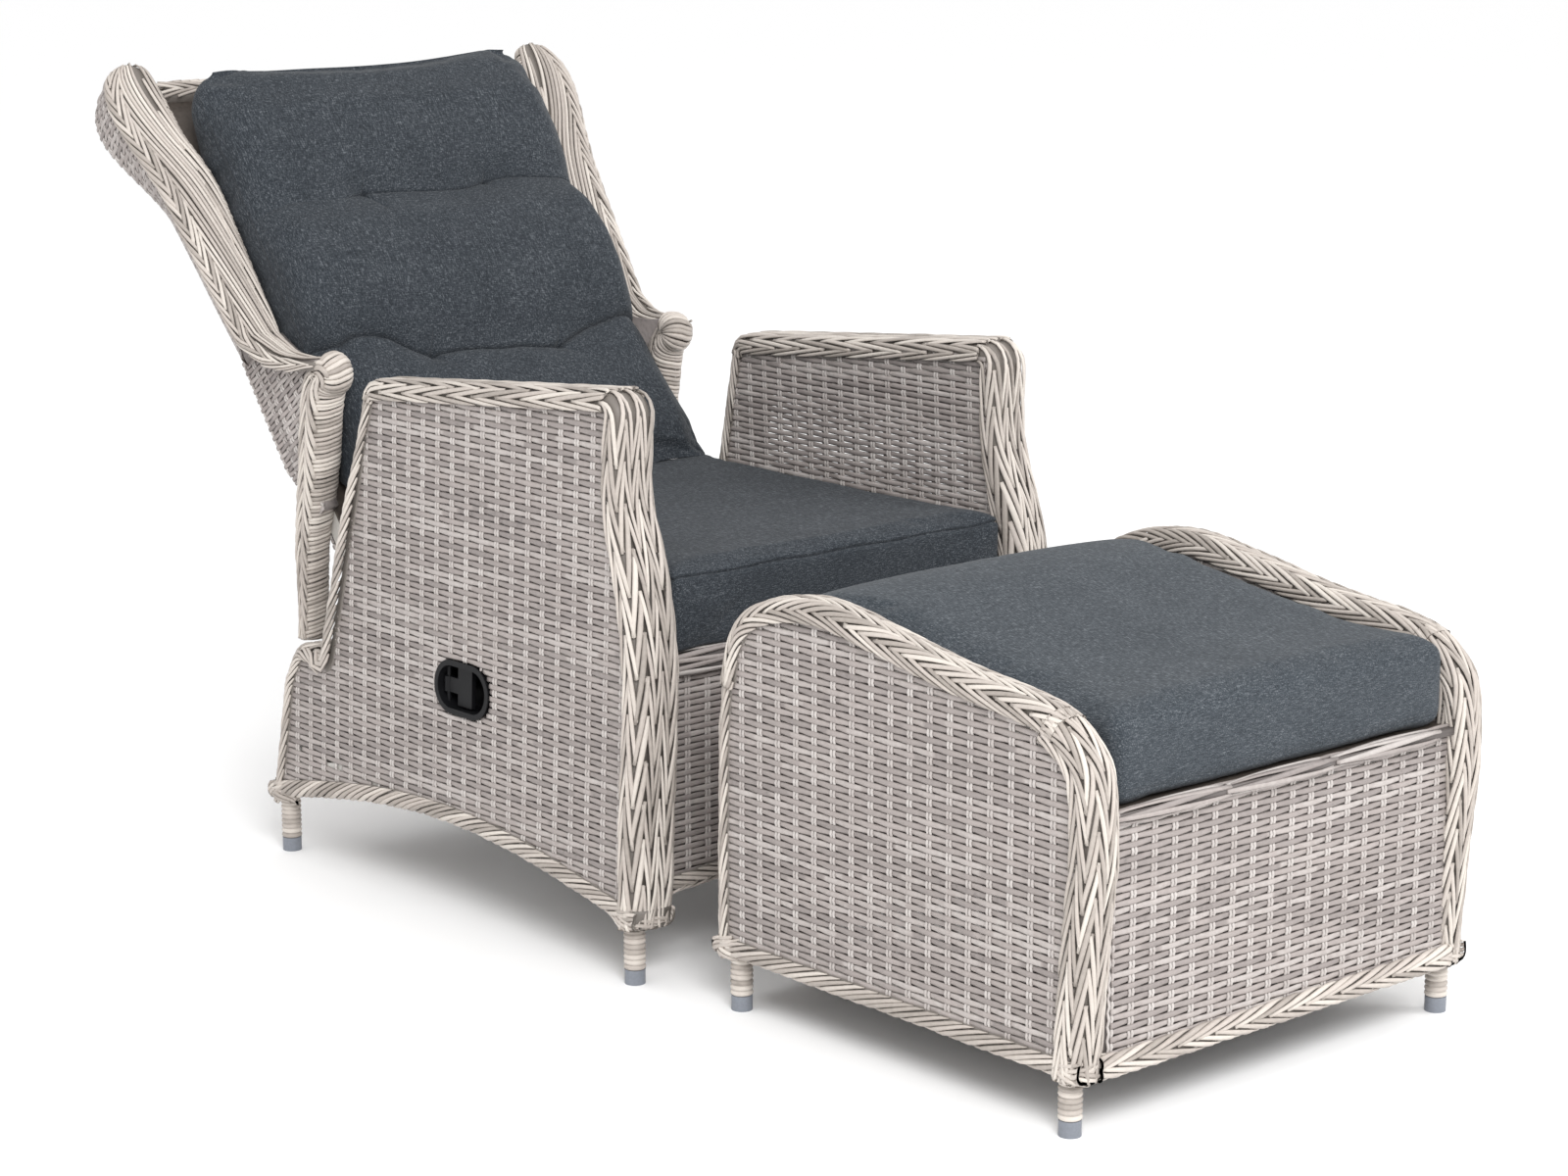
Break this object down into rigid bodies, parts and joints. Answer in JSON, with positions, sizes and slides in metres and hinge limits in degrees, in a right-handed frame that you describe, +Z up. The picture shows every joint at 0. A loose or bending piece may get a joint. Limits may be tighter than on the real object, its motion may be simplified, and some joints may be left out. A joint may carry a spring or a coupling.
{
  "type": "reclining wicker wing chair with footstool",
  "caption": "Reclining high wing chair in woven wicker with loose cushions, a gas spring under the seat, a release handle in one side, and a matching footstool",
  "frame": {"origin": "On the floor, under the middle of the whole set's length and width as it stands reclined", "axes": "X across the chair, +X to the sitter's left; Y along the set, +Y towards the top of the back, the footstool at -Y; Z up"},
  "size_m": [0.7742, 1.8628, 1.0277],
  "materials": {
    "plait": "round synthetic wicker strands in cream and light grey, plaited",
    "weave": "flat synthetic wicker in greige and taupe, plain weave",
    "fabric": "dark slate blue heathered outdoor fabric",
    "tube": "square aluminium tube, matte",
    "steel": "zinc plated steel",
    "black_plastic": "black moulded plastic",
    "black_paint": "black painted cylinder",
    "cap": "blue grey plastic foot cap"
  },
  "bodies": {
    "base": {"arm_frames": "tube", "outer_weave_right": "weave", "outer_weave_left": "weave", "inner_weaves": "weave", "front_post_braids": "plait", "arm_top_braids": "plait", "arm_rear_braids": "plait", "skirt_braids": "plait", "front_apron": "weave", "apron_rim_braid": "plait", "apron_skirt_braids": "plait", "rear_weave": "weave", "seat_rails": "tube", "seat_cross_tubes": "tube", "hinge_tube": "tube", "seat_deck": "weave", "seat_cushion": "fabric", "chair_legs": "plait", "chair_foot_caps": "cap", "hinge_brackets": "steel", "hinge_pins": "steel", "spring_bracket": "steel", "spring_base_pin": "steel", "handle_cup": "black_plastic", "paddle_pin": "steel", "release_cable": "black_plastic"},
    "backrest": {"back_side_tubes": "tube", "back_cross_tubes": "tube", "hinge_lugs": "steel", "spring_lever": "steel", "spring_lever_pin": "steel", "back_front_weave": "weave", "back_rear_weave": "weave", "back_top_braid": "plait", "wing_bands": "plait", "wing_shells": "weave", "wing_posts": "plait", "cheek_weaves": "weave"},
    "back_pad": {"back_cushion": "fabric"},
    "spring_rod": {"gas_rod": "steel", "release_head": "black_plastic"},
    "spring_cylinder": {"gas_cylinder": "black_paint"},
    "paddle": {"release_paddle": "black_plastic"},
    "footstool": {"stool_frames": "tube", "stool_cross_tubes": "tube", "stool_outer_weaves": "weave", "stool_inner_weaves": "weave", "stool_post_braids": "plait", "stool_top_braids": "plait", "stool_rear_braids": "plait", "stool_skirt_braids": "plait", "stool_front_weave": "weave", "stool_front_rim": "plait", "stool_rear_weave": "weave", "stool_deck": "weave", "stool_cushion": "fabric", "stool_legs": "plait", "stool_foot_caps": "cap"}
  },
  "joints": [
    {"name": "recline", "type": "hinge", "parent": "base", "child": "backrest", "pos_m": [0, 0.46696, 0.255], "axis": [1, 0, 0], "range_deg": [0, 16]},
    {"name": "cushion_ride", "type": "slide", "parent": "backrest", "child": "back_pad", "axis": [0, 0.6018, 0.7986], "range_m": [0, 0.05]},
    {"name": "spring_tilt", "type": "hinge", "parent": "base", "child": "spring_rod", "pos_m": [0, 0.12696, 0.29], "axis": [1, 0, 0], "range_deg": [0, 1.3]},
    {"name": "spring_stroke", "type": "slide", "parent": "spring_rod", "child": "spring_cylinder", "axis": [0, 0.9394, -0.3429], "range_m": [0, 0.024]},
    {"name": "paddle_turn", "type": "hinge", "parent": "base", "child": "paddle", "pos_m": [-0.3349, 0.16428, 0.29741], "axis": [-0.0366, 0, -0.9993], "range_deg": [0, 30], "stiffness_Nm_per_rad": 0.3},
    {"name": "footstool_slide", "type": "slide", "parent": "base", "child": "footstool", "axis": [0, -1, 0], "range_m": [0, 0.3]}
  ],
  "couplings": [
    {"joint": "cushion_ride", "follows": "recline", "m_per_rad": 0.1685},
    {"joint": "spring_tilt", "follows": "recline", "ratio": 0.071192},
    {"joint": "spring_stroke", "follows": "recline", "m_per_rad": 0.080815}
  ]
}
